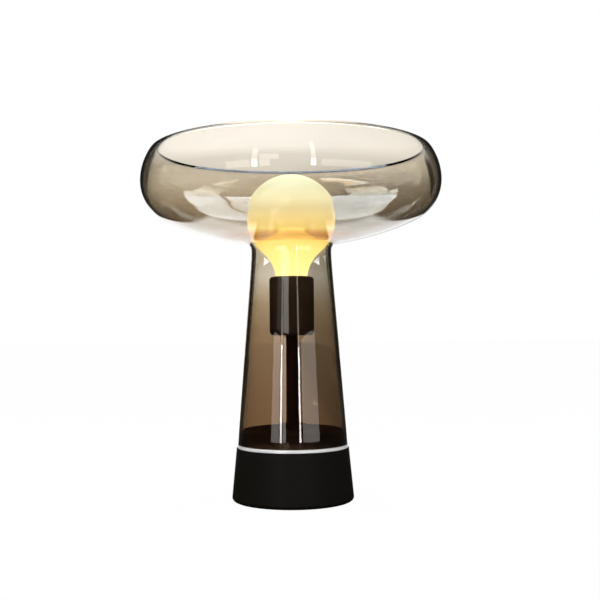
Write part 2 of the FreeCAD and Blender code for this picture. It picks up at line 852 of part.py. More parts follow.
PIECES = [
    ("base_turning", make_base_turning),
    ("ballast_disc", make_ballast_disc),
    ("bottom_cover", make_bottom_cover),
    ("cover_screws", make_cover_screws),
    ("foot_pad", make_foot_pad),
    ("stem_nipple", make_stem_nipple),
    ("nipple_washer", make_nipple_washer),
    ("nipple_nut", make_nipple_nut),
    ("seat_ring", make_seat_ring),
    ("seat_gasket", make_seat_gasket),
    ("glass_body", make_glass_body),
    ("glass_locator", make_glass_locator),
    ("stem_collar", make_stem_collar),
    ("stem_tube", make_stem_tube),
    ("holder_nipple", make_holder_nipple),
    ("holder_lock_nut", make_holder_lock_nut),
    ("holder_cap", make_holder_cap),
    ("holder_skirt", make_holder_skirt),
    ("holder_insert", make_holder_insert),
    ("holder_screw_shell", make_holder_screw_shell),
    ("holder_centre_contact", make_holder_centre_contact),
    ("holder_terminals", make_holder_terminals),
    ("holder_terminal_screws", make_holder_terminal_screws),
    ("bulb_globe", make_bulb_globe),
    ("bulb_cap_shell", make_bulb_cap_shell),
    ("bulb_cap_insulator", make_bulb_cap_insulator),
    ("bulb_tip_contact", make_bulb_tip_contact),
    ("bulb_mount", make_bulb_mount),
    ("bulb_filaments", make_bulb_filaments),
    ("bulb_support_wires", make_bulb_support_wires),
    ("cord_gland", make_cord_gland),
    ("terminal_block", make_terminal_block),
    ("terminal_screws", make_terminal_screws),
    ("block_fixing_screw", make_block_fixing_screw),
    ("lead_live", lambda: make_lead(1)),
    ("lead_neutral", lambda: make_lead(-1)),
]

os.makedirs("parts", exist_ok=True)
for name, make in PIECES:
    shape = make()
    shape.exportStep("parts/" + name + ".step")
    print(name, "valid" if shape.isValid() else "NOT VALID", "volume %.1f" % shape.Volume)
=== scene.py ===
import math

import bpy
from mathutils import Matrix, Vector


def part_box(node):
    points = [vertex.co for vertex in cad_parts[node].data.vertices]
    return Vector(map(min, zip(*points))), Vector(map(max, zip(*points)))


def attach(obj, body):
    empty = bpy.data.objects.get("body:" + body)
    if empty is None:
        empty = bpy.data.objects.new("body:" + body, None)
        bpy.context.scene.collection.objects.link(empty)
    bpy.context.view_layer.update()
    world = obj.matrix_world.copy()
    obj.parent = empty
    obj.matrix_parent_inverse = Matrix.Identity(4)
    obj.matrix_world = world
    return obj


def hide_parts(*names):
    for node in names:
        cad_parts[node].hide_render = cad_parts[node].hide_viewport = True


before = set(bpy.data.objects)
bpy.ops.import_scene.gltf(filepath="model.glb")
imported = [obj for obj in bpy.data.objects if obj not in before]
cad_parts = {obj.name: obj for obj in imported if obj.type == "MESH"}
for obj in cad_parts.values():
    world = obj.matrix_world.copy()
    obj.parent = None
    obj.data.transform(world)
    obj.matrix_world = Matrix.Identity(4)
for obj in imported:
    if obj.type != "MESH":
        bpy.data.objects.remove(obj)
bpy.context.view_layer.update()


# Base turning. One piece of close-grained wood, turned to a slight taper, hollowed from below,
# stained black through the grain and rubbed back to a satin lacquer.
class Socket:
    """One output of a finish's node, which adds and multiplies like a number."""

    def __init__(self, finish, link):
        self.finish = finish
        self.link = link

    def maths(self, operation, *values):
        return self.finish.node("ShaderNodeMath", {"operation": operation}, dict(enumerate(values)))

    def __add__(self, other):
        return self.maths("ADD", self, other)

    def __sub__(self, other):
        return self.maths("SUBTRACT", self, other)

    def __rsub__(self, other):
        return self.maths("SUBTRACT", other, self)

    def __mul__(self, other):
        return self.maths("MULTIPLY", self, other)

    def __pow__(self, other):
        return self.maths("POWER", self, other)

    def __gt__(self, other):
        return self.maths("GREATER_THAN", self, other)

    def __abs__(self):
        return self.maths("ABSOLUTE", self)

    __radd__ = __add__
    __rmul__ = __mul__


class Finish:
    """A material or world whose nodes are added one after another, each linked as it is made."""

    def __init__(self, name, owner=None):
        self.owner = owner or bpy.data.materials.new(name)
        self.owner.use_nodes = True
        self.tree = self.owner.node_tree
        self.tree.nodes.clear()

    def fill(self, socket, value):
        """Links a socket to another, or sets it to a number, a vector or a colour."""
        if isinstance(value, Socket):
            self.tree.links.new(value.link, socket)
        elif socket.type == "RGBA":
            socket.default_value = (*value, 1.0)
        else:
            socket.default_value = value

    def node(self, kind, settings=None, values=None, output=0):
        made = self.tree.nodes.new(kind)
        for name, value in (settings or {}).items():
            if name == "stops":
                ramp = made.color_ramp
                while len(ramp.elements) < len(value):
                    ramp.elements.new(0.5)
                for element, (place, colour) in zip(ramp.elements, value):
                    element.position = place
                    element.color = (*colour, 1.0)
            else:
                setattr(made, name, value)
        for name, value in (values or {}).items():
            self.fill(made.inputs[name], value)
        return Socket(self, made.outputs[output]) if made.outputs else None

    def place(self, scale=(1.0, 1.0, 1.0), turn=(0.0, 0.0, 0.0), shift=(0.0, 0.0, 0.0)):
        """The point on the piece, in metres from the lamp's foot, stretched, turned and shifted."""
        point = self.node("ShaderNodeTexCoord", output="Object")
        values = {"Vector": point, "Scale": scale, "Rotation": turn, "Location": shift}
        return self.node("ShaderNodeMapping", values=values)

    def noise(self, point, scale, detail):
        values = {"Vector": point, "Scale": scale, "Detail": detail}
        return self.node("ShaderNodeTexNoise", values=values)

    def blend(self, factor, low, high):
        """A colour that runs from low to high with the factor."""
        mix = self.tree.nodes.new("ShaderNodeMix")
        mix.data_type = "RGBA"
        for name, value in (("Factor", factor), ("A", low), ("B", high)):
            self.fill(next(s for s in mix.inputs if s.name == name and s.enabled), value)
        return Socket(self, next(s for s in mix.outputs if s.enabled))

    def bump(self, height, strength, distance):
        values = {"Height": height, "Strength": strength, "Distance": distance}
        return self.node("ShaderNodeBump", values=values)

    def surface(self, **values):
        """Ends the material in one Principled surface."""
        names = {key.replace("_", " "): value for key, value in values.items()}
        shader = self.node("ShaderNodeBsdfPrincipled", values=names)
        self.node("ShaderNodeOutputMaterial", values={"Surface": shader})


def dress(material, *nodes):
    """Gives the material to CAD nodes, in place of what they came with."""
    for node in nodes:
        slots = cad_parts[node].data.materials
        slots.clear()
        slots.append(material)


STAIN_DEEP = (0.0030, 0.0024, 0.0016)
STAIN_EVEN = (0.0038, 0.0031, 0.0021)
STAIN_RUBBED = (0.0062, 0.0052, 0.0036)
FIBRE_STRETCH = (30.0, 260.0, 30.0)
FIBRE_TURN = (0.0, 0.12, 0.5)
HEART_SHIFT = (-0.07, 0.03, 0.05)
HEART_TURN = (0.2, 0.1, 0.4)
GROWTH_RINGS = {"Scale": 130.0, "Distortion": 3.0, "Detail": 3.0, "Detail Scale": 0.5}

stain = Finish("black_stained_wood")
fibre = stain.place(scale=FIBRE_STRETCH, turn=FIBRE_TURN)
heartwood = stain.place(shift=HEART_SHIFT, turn=HEART_TURN)
warp = stain.noise(stain.place(), scale=18.0, detail=2.0)
rings = stain.node(
    "ShaderNodeTexWave",
    {"wave_type": "RINGS", "rings_direction": "Y"},
    {"Vector": heartwood, **GROWTH_RINGS},
    output="Fac",
)
pores = stain.noise(fibre, scale=6.0, detail=4.0)
grain = rings * 0.55 + pores * 0.45
wood_colour = stain.node(
    "ShaderNodeValToRGB",
    {"stops": [(0.30, STAIN_DEEP), (0.60, STAIN_EVEN), (0.85, STAIN_RUBBED)]},
    {"Fac": grain},
)
stain.surface(
    Base_Color=wood_colour,
    Roughness=0.42 + 0.16 * pores + 0.06 * warp,
    Normal=stain.bump(grain, strength=0.05, distance=0.0006),
    Specular_IOR_Level=0.06,
)
dress(stain.owner, "base_turning")


# Ballast, cover, screws and felt. A cast disc weighs the base down; a powder-coated plate on three
# screws closes it, and a felt pad is glued on.
IRON_DARK = (0.045, 0.044, 0.043)
IRON_BRIGHT = (0.11, 0.105, 0.10)
COAT_DARK = (0.018, 0.018, 0.018)
COAT_PALE = (0.028, 0.028, 0.028)
ZINC_DULL = (0.52, 0.52, 0.53)
ZINC_BRIGHT = (0.66, 0.66, 0.68)
FELT_DARK = (0.008, 0.008, 0.008)
FELT_PALE = (0.03, 0.03, 0.03)

cast = Finish("raw_cast_iron")
cast_grit = cast.noise(cast.place(), scale=900.0, detail=5.0)
cast.surface(
    Base_Color=cast.blend(cast_grit, IRON_DARK, IRON_BRIGHT),
    Roughness=0.55 + 0.25 * cast_grit,
    Metallic=0.9,
    Normal=cast.bump(cast_grit, strength=0.6, distance=0.0004),
)
dress(cast.owner, "ballast_disc")

powder = Finish("black_powder_coat")
orange_peel = powder.noise(powder.place(), scale=1400.0, detail=2.0)
powder.surface(
    Base_Color=powder.blend(orange_peel, COAT_DARK, COAT_PALE),
    Roughness=0.5 + 0.12 * orange_peel,
    Normal=powder.bump(orange_peel, strength=0.35, distance=0.0002),
)
dress(powder.owner, "bottom_cover")

zinc = Finish("zinc_plated_steel")
zinc_cloud = zinc.noise(zinc.place(), scale=420.0, detail=4.0)
zinc.surface(
    Base_Color=zinc.blend(zinc_cloud, ZINC_DULL, ZINC_BRIGHT),
    Roughness=0.26 + 0.16 * zinc_cloud,
    Metallic=1.0,
)
dress(
    zinc.owner, "cover_screws", "stem_nipple", "nipple_washer", "holder_nipple",
    "holder_terminal_screws", "terminal_screws", "block_fixing_screw", "bulb_support_wires",
)

felt = Finish("black_felt")
felt_fibre = felt.noise(felt.place(scale=(1.0, 1.0, 3.0)), scale=2200.0, detail=6.0)
felt.surface(
    Base_Color=felt.blend(felt_fibre, FELT_DARK, FELT_PALE),
    Roughness=0.95,
    Normal=felt.bump(felt_fibre, strength=0.8, distance=0.0006),
)
dress(felt.owner, "foot_pad")


# Seat ring and gasket. A turned and polished steel ring lies on the wood, with a thin clear gasket
# on it that the foot of the glass stands on.
STEEL_LOW = (0.86, 0.86, 0.86)
STEEL_HIGH = (0.94, 0.94, 0.94)
SILICONE_CLOUDY = (0.60, 0.59, 0.56)
SILICONE_CLEAR = (0.72, 0.71, 0.68)

polish = Finish("polished_steel")
lathe_lines = polish.noise(polish.place(scale=(1.0, 1.0, 60.0)), scale=90.0, detail=2.0)
polish.surface(
    Base_Color=polish.blend(lathe_lines, STEEL_LOW, STEEL_HIGH),
    Roughness=0.20 + 0.10 * lathe_lines,
    Metallic=0.35,
)
dress(polish.owner, "seat_ring")

silicone = Finish("clear_silicone")
silicone_haze = silicone.noise(silicone.place(), scale=300.0, detail=2.0)
silicone.surface(
    Base_Color=silicone.blend(silicone_haze, SILICONE_CLOUDY, SILICONE_CLEAR),
    Roughness=0.35 + 0.1 * silicone_haze,
)
dress(silicone.owner, "seat_gasket")


# Locator, collar and stem. A matt black moulding centres the glass; a turned collar clamps it down
# and carries the black enamelled tube that the lampholder stands on.
MOULDING_DARK = (0.040, 0.024, 0.015)
MOULDING_PALE = (0.056, 0.036, 0.024)
ENAMEL_DARK = (0.030, 0.012, 0.006)
ENAMEL_PALE = (0.046, 0.019, 0.010)

moulding = Finish("matt_black_moulding")
moulding_flow = moulding.noise(moulding.place(), scale=60.0, detail=2.0)
moulding.surface(
    Base_Color=moulding.blend(moulding_flow, MOULDING_DARK, MOULDING_PALE),
    Roughness=0.5 + 0.06 * moulding_flow,
    Specular_IOR_Level=0.0,
)
dress(moulding.owner, "glass_locator")

enamel = Finish("black_enamel")
enamel_flow = enamel.noise(enamel.place(), scale=120.0, detail=2.0)
enamel.surface(
    Base_Color=enamel.blend(enamel_flow, ENAMEL_DARK, ENAMEL_PALE),
    Roughness=0.45 + 0.05 * enamel_flow,
    Specular_IOR_Level=0.0,
)
dress(enamel.owner, "stem_collar", "stem_tube")


# Lampholder. Two satin black mouldings screwed together hold a porcelain insert with a brass screw
# shell, a spring contact and two terminals; a brass nut fixes the cap on the stem.
SATIN_DARK = (0.052, 0.038, 0.027)
SATIN_PALE = (0.078, 0.056, 0.042)
PORCELAIN_DULL = (0.74, 0.71, 0.65)
PORCELAIN_WHITE = (0.84, 0.82, 0.77)
BRASS_DULL = (0.62, 0.44, 0.17)
BRASS_BRIGHT = (0.78, 0.60, 0.28)

satin = Finish("satin_black_moulding")
satin_spark = satin.noise(satin.place(), scale=1600.0, detail=2.0)
satin.surface(
    Base_Color=satin.blend(satin_spark, SATIN_DARK, SATIN_PALE),
    Roughness=0.45 + 0.10 * satin_spark,
    Specular_IOR_Level=0.0,
    Normal=satin.bump(satin_spark, strength=0.12, distance=0.0001),
)
dress(satin.owner, "holder_cap", "holder_skirt")

porcelain = Finish("white_porcelain")
porcelain_cloud = porcelain.noise(porcelain.place(), scale=150.0, detail=3.0)
porcelain.surface(
    Base_Color=porcelain.blend(porcelain_cloud, PORCELAIN_DULL, PORCELAIN_WHITE),
    Roughness=0.3 + 0.15 * porcelain_cloud,
)
dress(porcelain.owner, "holder_insert")

brass = Finish("stamped_brass")
brass_cloud = brass.noise(brass.place(), scale=380.0, detail=4.0)
brass.surface(
    Base_Color=brass.blend(brass_cloud, BRASS_DULL, BRASS_BRIGHT),
    Roughness=0.22 + 0.16 * brass_cloud,
    Metallic=1.0,
)
dress(
    brass.owner, "nipple_nut", "holder_lock_nut", "holder_screw_shell",
    "holder_centre_contact", "holder_terminals",
)


# Bulb. An opal globe lamp with a plain metal screw cap, a black glass insulator and a soldered tip;
# it is lit, and its glow is painted to change with height: yellower towards the neck, with an orange
# band of painted shade at the height of the glass's neck crease.
def between(value, low, high):
    """Runs from 0 to 1 as the value goes from low to high."""
    return value.finish.node("ShaderNodeMapRange", {"clamp": True}, {0: value, 1: low, 2: high})


def along(point, axis):
    """How far a point lies along one axis."""
    return point.finish.node("ShaderNodeSeparateXYZ", values={"Vector": point}, output=axis)


GLOBE_NECK_Z = 0.200
GLOBE_TOP_Z = 0.296
# Glow colours up the globe. The orange stop at 0.40 sits at the height of the glass's neck and is
# painted shade of its crease.
GLOW_WITH_PAINTED_SHADE = [
    (0.05, (0.77, 0.71, 0.28)), (0.28, (0.77, 0.70, 0.25)), (0.40, (0.83, 0.60, 0.155)),
    (0.48, (0.88, 0.69, 0.21)), (0.58, (0.95, 0.83, 0.42)), (0.71, (0.93, 1.0, 0.76)),
    (0.86, (0.76, 0.85, 0.70)),
]
GLOW_STRENGTH = 1.9
OPAL_CREAM = (0.24, 0.20, 0.11)
CAP_DULL = (0.68, 0.68, 0.67)
CAP_BRIGHT = (0.82, 0.82, 0.81)
MOUNT_DULL = (0.80, 0.82, 0.82)
MOUNT_CLEAR = (0.90, 0.92, 0.92)
PHOSPHOR_DEEP = (0.85, 0.60, 0.12)
PHOSPHOR_PALE = (0.95, 0.74, 0.22)

opal = Finish("lit_opal_glass")
up_the_globe = between(along(opal.place(), "Z"), GLOBE_NECK_Z, GLOBE_TOP_Z)
opal_cloud = opal.noise(opal.place(), scale=35.0, detail=2.0)
glow_with_painted_shade = opal.node("ShaderNodeValToRGB", {"stops": GLOW_WITH_PAINTED_SHADE}, {"Fac": up_the_globe + 0.03 * opal_cloud})
opal.surface(
    Base_Color=OPAL_CREAM,
    Roughness=0.18 + 0.05 * opal_cloud,
    Specular_IOR_Level=0.03,
    Emission_Color=glow_with_painted_shade,
    Emission_Strength=GLOW_STRENGTH,
)
dress(opal.owner, "bulb_globe")

cap_metal = Finish("plain_cap_metal")
cap_rub = cap_metal.noise(cap_metal.place(scale=(1.0, 1.0, 25.0)), scale=160.0, detail=3.0)
cap_metal.surface(
    Base_Color=cap_metal.blend(cap_rub, CAP_DULL, CAP_BRIGHT),
    Roughness=0.3 + 0.15 * cap_rub,
    Metallic=1.0,
)
dress(cap_metal.owner, "bulb_cap_shell", "bulb_tip_contact")
dress(moulding.owner, "bulb_cap_insulator")

mount_glass = Finish("clear_mount_glass")
mount_streak = mount_glass.noise(mount_glass.place(scale=(1.0, 1.0, 0.2)), scale=300.0, detail=2.0)
mount_glass.surface(
    Base_Color=mount_glass.blend(mount_streak, MOUNT_DULL, MOUNT_CLEAR),
    Roughness=0.08 + 0.05 * mount_streak,
)
dress(mount_glass.owner, "bulb_mount")

phosphor = Finish("filament_phosphor")
phosphor_grain = phosphor.noise(phosphor.place(), scale=2500.0, detail=3.0)
phosphor.surface(
    Base_Color=phosphor.blend(phosphor_grain, PHOSPHOR_DEEP, PHOSPHOR_PALE),
    Roughness=0.7,
)
dress(phosphor.owner, "bulb_filaments")


# Cord entry and wiring. A rubber bush lines the hole at the rear; inside, two insulated leads run
# from a terminal block under the ballast up the stem.
RUBBER_DARK = (0.010, 0.010, 0.010)
RUBBER_DUSTY = (0.022, 0.022, 0.022)
POLYAMIDE_DULL = (0.76, 0.75, 0.70)
POLYAMIDE_PALE = (0.84, 0.83, 0.79)
BROWN_DULL, BROWN_BRIGHT = (0.16, 0.06, 0.02), (0.22, 0.09, 0.035)
BLUE_DULL, BLUE_BRIGHT = (0.02, 0.07, 0.28), (0.035, 0.11, 0.38)

rubber = Finish("black_rubber")
rubber_dust = rubber.noise(rubber.place(), scale=500.0, detail=3.0)
rubber.surface(
    Base_Color=rubber.blend(rubber_dust, RUBBER_DARK, RUBBER_DUSTY),
    Roughness=0.6 + 0.15 * rubber_dust,
)
dress(rubber.owner, "cord_gland")

polyamide = Finish("natural_polyamide")
polyamide_cloud = polyamide.noise(polyamide.place(), scale=120.0, detail=2.0)
polyamide.surface(
    Base_Color=polyamide.blend(polyamide_cloud, POLYAMIDE_DULL, POLYAMIDE_PALE),
    Roughness=0.45 + 0.1 * polyamide_cloud,
)
dress(polyamide.owner, "terminal_block")

for lead, dull, bright in (
    ("lead_live", BROWN_DULL, BROWN_BRIGHT),
    ("lead_neutral", BLUE_DULL, BLUE_BRIGHT),
):
    sleeve = Finish(lead + "_insulation")
    sleeve_cloud = sleeve.noise(sleeve.place(), scale=260.0, detail=2.0)
    sleeve.surface(
        Base_Color=sleeve.blend(sleeve_cloud, dull, bright),
        Roughness=0.4 + 0.1 * sleeve_cloud,
    )
    dress(sleeve.owner, lead)


# Glass body. Smoke-brown glass blown in one piece: a tapered column, a drawn-out neck, an open bowl
# and a rim turned in at the fire. It stands loose on the gasket.
WALL = 0.0026
FOOT_R = 0.0501
NECK_R = 0.0356
COLUMN_HEIGHT = 0.1748
FOOT_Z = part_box("glass_body")[0].z
SMOOTHING_LOSS = 0.00025  # the smoothing further down draws the widest ring in by this
BOWL_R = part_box("glass_body")[1].x + SMOOTHING_LOSS
WIDEST_Z = FOOT_Z + 0.2363
NECK_ROUND = 0.008
BELLY_ROUND = 0.0362
SHOULDER_ROUND = 0.0482
RIM_ROUND = 0.008
RIM_R = 0.1188
NECK_SLOPE = math.radians(7.5)
BELLY_SLOPE = math.radians(24.5)
SHOULDER_TURN = math.radians(34.6)
RIGHT_ANGLE = math.pi / 2
COLUMN_RINGS = 12
SIDES = 256
START_SIZE = 0.001
MERGE_WITHIN = 0.00001
EDGE_ANGLE = math.radians(50)
EDGE_ROUND = WALL * 0.48
TINT_FOOT_Z = 0.05
TINT_TOP_Z = 0.32
# The glass's colour runs with height. It is darker towards the foot, then near white at the top of the
# column, which is a painted glow of the lit bulb. A narrow dark brown band at the neck is painted shade
# of the crease, and the bowl grows paler again upwards.
TINT_AND_PAINTED_LIGHT = [
    (0.0, (0.53, 0.42, 0.32)), (0.16, (0.571, 0.458, 0.359)), (0.39, (0.657, 0.565, 0.463)),
    (0.475, (0.77, 0.70, 0.60)), (0.57, (1.0, 0.99, 0.97)), (0.67, (0.90, 0.86, 0.80)),
    (0.684, (0.88, 0.84, 0.78)), (0.688, (0.55, 0.28, 0.12)), (0.696, (0.55, 0.28, 0.12)),
    (0.702, (0.86, 0.81, 0.74)), (0.75, (0.62, 0.54, 0.44)), (0.795, (0.70, 0.64, 0.55)),
    (0.83, (0.88, 0.84, 0.77)), (0.93, (0.96, 0.94, 0.91)),
]
SMOKE_BROWN = (0.50, 0.333, 0.0)
SMOKE_DENSITY = 120.0
GLASS_IOR = 1.5


def around(centre, radius, angle):
    """The point of the profile at that radius and angle from a centre."""
    return centre[0] + radius * math.cos(angle), centre[1] + radius * math.sin(angle)


# The arc under the belly gets the radius at which the neck's own round still touches the column.
taper = math.atan2(FOOT_R - NECK_R, COLUMN_HEIGHT)
belly = (BOWL_R - BELLY_ROUND, WIDEST_Z)
belly_foot = around(belly, BELLY_ROUND, BELLY_SLOPE - RIGHT_ANGLE)
neck_start = around(belly_foot, NECK_ROUND, NECK_SLOPE - RIGHT_ANGLE)
lean = (
    math.sin(NECK_SLOPE) - math.sin(BELLY_SLOPE),
    math.cos(BELLY_SLOPE) - math.cos(NECK_SLOPE),
)
clear_of_column = (
    (neck_start[0] - FOOT_R) * math.cos(taper) + (neck_start[1] - FOOT_Z) * math.sin(taper)
)
under_round = (NECK_ROUND - clear_of_column) / (lean[0] * math.cos(taper) + lean[1] * math.sin(taper))
under = around(belly_foot, under_round, BELLY_SLOPE + RIGHT_ANGLE)
neck = around(under, under_round + NECK_ROUND, NECK_SLOPE - RIGHT_ANGLE)
neck_foot = around(neck, -NECK_ROUND, taper)
shoulder = (BOWL_R - SHOULDER_ROUND, WIDEST_Z)
rim = around(shoulder, SHOULDER_ROUND - RIM_ROUND, SHOULDER_TURN)

bpy.ops.object.select_all(action="DESELECT")
bpy.ops.mesh.primitive_plane_add(size=START_SIZE, location=(0, 0, 0))
glass = bpy.context.object
glass.name = glass.data.name = "blown_glass_body"
bpy.ops.object.mode_set(mode="EDIT")
bpy.ops.mesh.select_all(action="SELECT")
bpy.ops.mesh.merge(type="CENTER")
bpy.ops.transform.translate(value=(FOOT_R, 0, FOOT_Z))
column_run = ((neck_foot[0] - FOOT_R) / COLUMN_RINGS, 0, (neck_foot[1] - FOOT_Z) / COLUMN_RINGS)
for _ in range(COLUMN_RINGS):
    bpy.ops.mesh.extrude_region_move(TRANSFORM_OT_translate={"value": column_run})
for centre, turn, steps in (
    (neck, NECK_SLOPE - taper - RIGHT_ANGLE, 14),
    (under, BELLY_SLOPE - NECK_SLOPE, 24),
    (belly, RIGHT_ANGLE - BELLY_SLOPE, 24),
    (shoulder, SHOULDER_TURN, 14),
    (rim, RIGHT_ANGLE - SHOULDER_TURN, 12),
):
    bpy.ops.mesh.spin(
        steps=steps,
        angle=turn,
        center=(centre[0], 0, centre[1]),
        axis=(0, 1, 0),
        use_auto_merge=False,
    )
rim_run = (RIM_R + WALL / 2 - rim[0], 0, 0)
bpy.ops.mesh.extrude_region_move(TRANSFORM_OT_translate={"value": rim_run})
bpy.ops.object.mode_set(mode="OBJECT")
for point in glass.data.vertices:
    point.select = 0 < point.index < len(glass.data.vertices) - 1
bpy.ops.object.mode_set(mode="EDIT")
bpy.ops.mesh.vertices_smooth(factor=0.5, repeat=12)
bpy.ops.mesh.select_all(action="SELECT")
bpy.ops.mesh.spin(
    steps=SIDES,
    angle=2 * math.pi,
    center=(0, 0, 0),
    axis=(0, 0, 1),
    use_auto_merge=False,
)
bpy.ops.mesh.select_all(action="SELECT")
bpy.ops.mesh.remove_doubles(threshold=MERGE_WITHIN)
bpy.ops.mesh.normals_make_consistent(inside=False)
bpy.ops.object.mode_set(mode="OBJECT")
wall = glass.modifiers.new("wall", "SOLIDIFY")
wall.thickness = WALL
wall.offset = -1.0
wall.use_even_offset = True
bpy.ops.object.modifier_apply(modifier="wall")
fire_polish = glass.modifiers.new("fire_polish", "BEVEL")
fire_polish.limit_method = "ANGLE"
fire_polish.angle_limit = EDGE_ANGLE
fire_polish.width = EDGE_ROUND
fire_polish.segments = 5
bpy.ops.object.modifier_apply(modifier="fire_polish")
bpy.ops.object.shade_smooth()

smoke = Finish("smoke_brown_glass_with_painted_light")
up_the_glass = between(along(smoke.place(), "Z"), TINT_FOOT_Z, TINT_TOP_Z)
# Tint up the glass, holding the painted glow of the bulb and the painted shade of the neck crease.
tint_and_painted_light = smoke.node("ShaderNodeValToRGB", {"stops": TINT_AND_PAINTED_LIGHT}, {"Fac": up_the_glass})
glass_shader = smoke.node(
    "ShaderNodeBsdfPrincipled",
    values={"Base Color": tint_and_painted_light, "Roughness": 0.0, "IOR": GLASS_IOR, "Transmission Weight": 1.0},
)
absorption = smoke.node(
    "ShaderNodeVolumeAbsorption", values={"Color": SMOKE_BROWN, "Density": SMOKE_DENSITY}
)
smoke.node("ShaderNodeOutputMaterial", values={"Surface": glass_shader, "Volume": absorption})
glass.data.materials.append(smoke.owner)
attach(glass, "glass")
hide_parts("glass_body")


# Studio. A pale floor, a white backdrop and a pale canopy stand behind and over the lamp, with soft
# boxes either side of the camera. Only light that was mirrored inside the bowl sees what is in
# front: a white floor and a white room behind a dark table.
FLOOR_SIZE = 30.0
FLOOR_GREY = (0.80, 0.80, 0.80)
PLAIN_WHITE = (1.0, 1.0, 1.0)
COOL_WHITE = (0.74, 1.0, 1.5)
EDGE = 0.01  # how far a soft edge runs either side of its line

SWEEP_WIDTH, SWEEP_FLARE = 0.118, 0.245
SWEEP_START, SWEEP_LEFT = (0.20, 0.32), (0.12, -0.04)
SHORTER_WAY, SHORTER_FAR_OUT, FAR_OUT = 0.036, 0.014, (0.5, 2.3)
LONGER_WAY, NEAR_IN = (-0.020, -0.017), (0.65, 0.60)
FRONT_START, FRONT_LEFT = (-0.09, -0.10), (0.0, -0.1)
TABLE_LEFT, TABLE_LEFT_FLARE, TABLE_LEFT_START = 0.063, 1.73, (-0.02, -0.04)
TABLE_RIGHT, TABLE_RIGHT_FLARE, TABLE_RIGHT_START = 0.090, 1.10, (-0.185, -0.195)
CARD_LINE, CARD_LEAN, CARD_TAPER = 0.13, 1.83, 0.03
FLOOR_FOR_CAMERA, LIT_FOR_CAMERA = 1.012, 0.97
FLOOR_IN_GLOSS, SWEEP_IN_GLOSS = 0.03, 1.5
FLOOR_THROUGH_GLASS, SWEEP_THROUGH_GLASS, SWEEP_MORE_LEFT = 0.04, 0.35, 0.50
FLOOR_IN_BOWL, FLOOR_MORE_LEFT = 20.0, 8.0

BEHIND, IN_FRONT = (0.0, 0.1), (0.17, 0.15)
BACKDROP_LEAN, BACKDROP_EDGE, MARGIN_EDGE = 0.28, (0.295, 0.285), (0.335, 0.325)
BACKDROP_CUT, CUT_ACROSS, CUT_ABOVE = 0.035, (0.0, 0.1), (0.05, 0.08)
BACKDROP_DARK, BACKDROP_LIGHT, MARGIN_LIGHT = 0.02, 0.92, 0.08
SHADE, SHADE_ACROSS, SHADE_BELOW = 0.5, (-0.02, 0.06), (0.19, 0.14)
CANOPY_RISE, CANOPY_BACK, CANOPY_FADE = (0.23, 0.5), (0.70, 0.60), (1.4, -0.4)
CANOPY_LIGHT, CANOPY_SHADE, CANOPY_RIGHT = 3.3, 0.3, (0.0, 0.5)
SIDE_LEAN, SIDE_EDGE = 0.78, (-0.155, -0.14)
MIDDLE_EDGE, MIDDLE_STEP = (-0.45, -0.47), 0.05
TABLE_TOP, TABLE_DROP, TABLE_CORNER = 0.20, 0.25, (-0.63, -0.60)
BAND, BAND_FOOT, BAND_TOP = 0.12, (0.33, 0.37), (0.66, 0.62)
ROOM_LIGHT, ROOM_MORE_LEFT, ROOM_LEFT = 22.0, 0.9, (0.2, -0.2)
FILL_LIGHT = 0.30


def light_path(finish):
    """How light reached a place: from the camera, by gloss, through glass, from inside the bowl.

    Light from inside the bowl was mirrored, and has crossed glass four times, where leaving by
    gloss over the rim counts for two. The last value is the length of its last stretch.
    """
    path = finish.tree.nodes.new("ShaderNodeLightPath")
    camera, gloss, through, bounces, crossings, length = (
        Socket(finish, path.outputs[name])
        for name in (
            "Is Camera Ray", "Is Glossy Ray", "Is Transmission Ray",
            "Glossy Depth", "Transmission Depth", "Ray Length",
        )
    )
    inside = (bounces > 0.5) * (crossings + 2 * (1 - through) > 3.5)
    return camera, gloss * (1 - through), through, inside, length


bpy.ops.object.select_all(action="DESELECT")
bpy.ops.mesh.primitive_plane_add(size=FLOOR_SIZE, location=(0, 0, 0))
floor = bpy.context.object
floor.name = "studio_floor"
pale = Finish("pale_floor")
to_camera, to_gloss, to_glass, in_bowl, travelled = light_path(pale)
floor_point = pale.node("ShaderNodeTexCoord", output="Object")
floor_x, floor_y = along(floor_point, "X"), along(floor_point, "Y")
sweep = between(SWEEP_WIDTH + SWEEP_FLARE * floor_y - abs(floor_x), -EDGE, EDGE)
sweep = sweep * between(floor_y, *SWEEP_START)

# The bowl is wider and higher than the column. So its light comes a shorter way to the floor far
# out, and a longer way to the floor near the lamp, and is told from the column's by that.
from_axis = (floor_x * floor_x + floor_y * floor_y) ** 0.5
overshoot = travelled - from_axis
shorter_way = SHORTER_WAY + SHORTER_FAR_OUT * between(from_axis, *FAR_OUT)
bowl_far = between(overshoot + shorter_way, 0.0, -0.003)
bowl_near = between(overshoot, *LONGER_WAY) * between(from_axis, *NEAR_IN)
from_bowl = bowl_far + bowl_near * (1 - bowl_far)

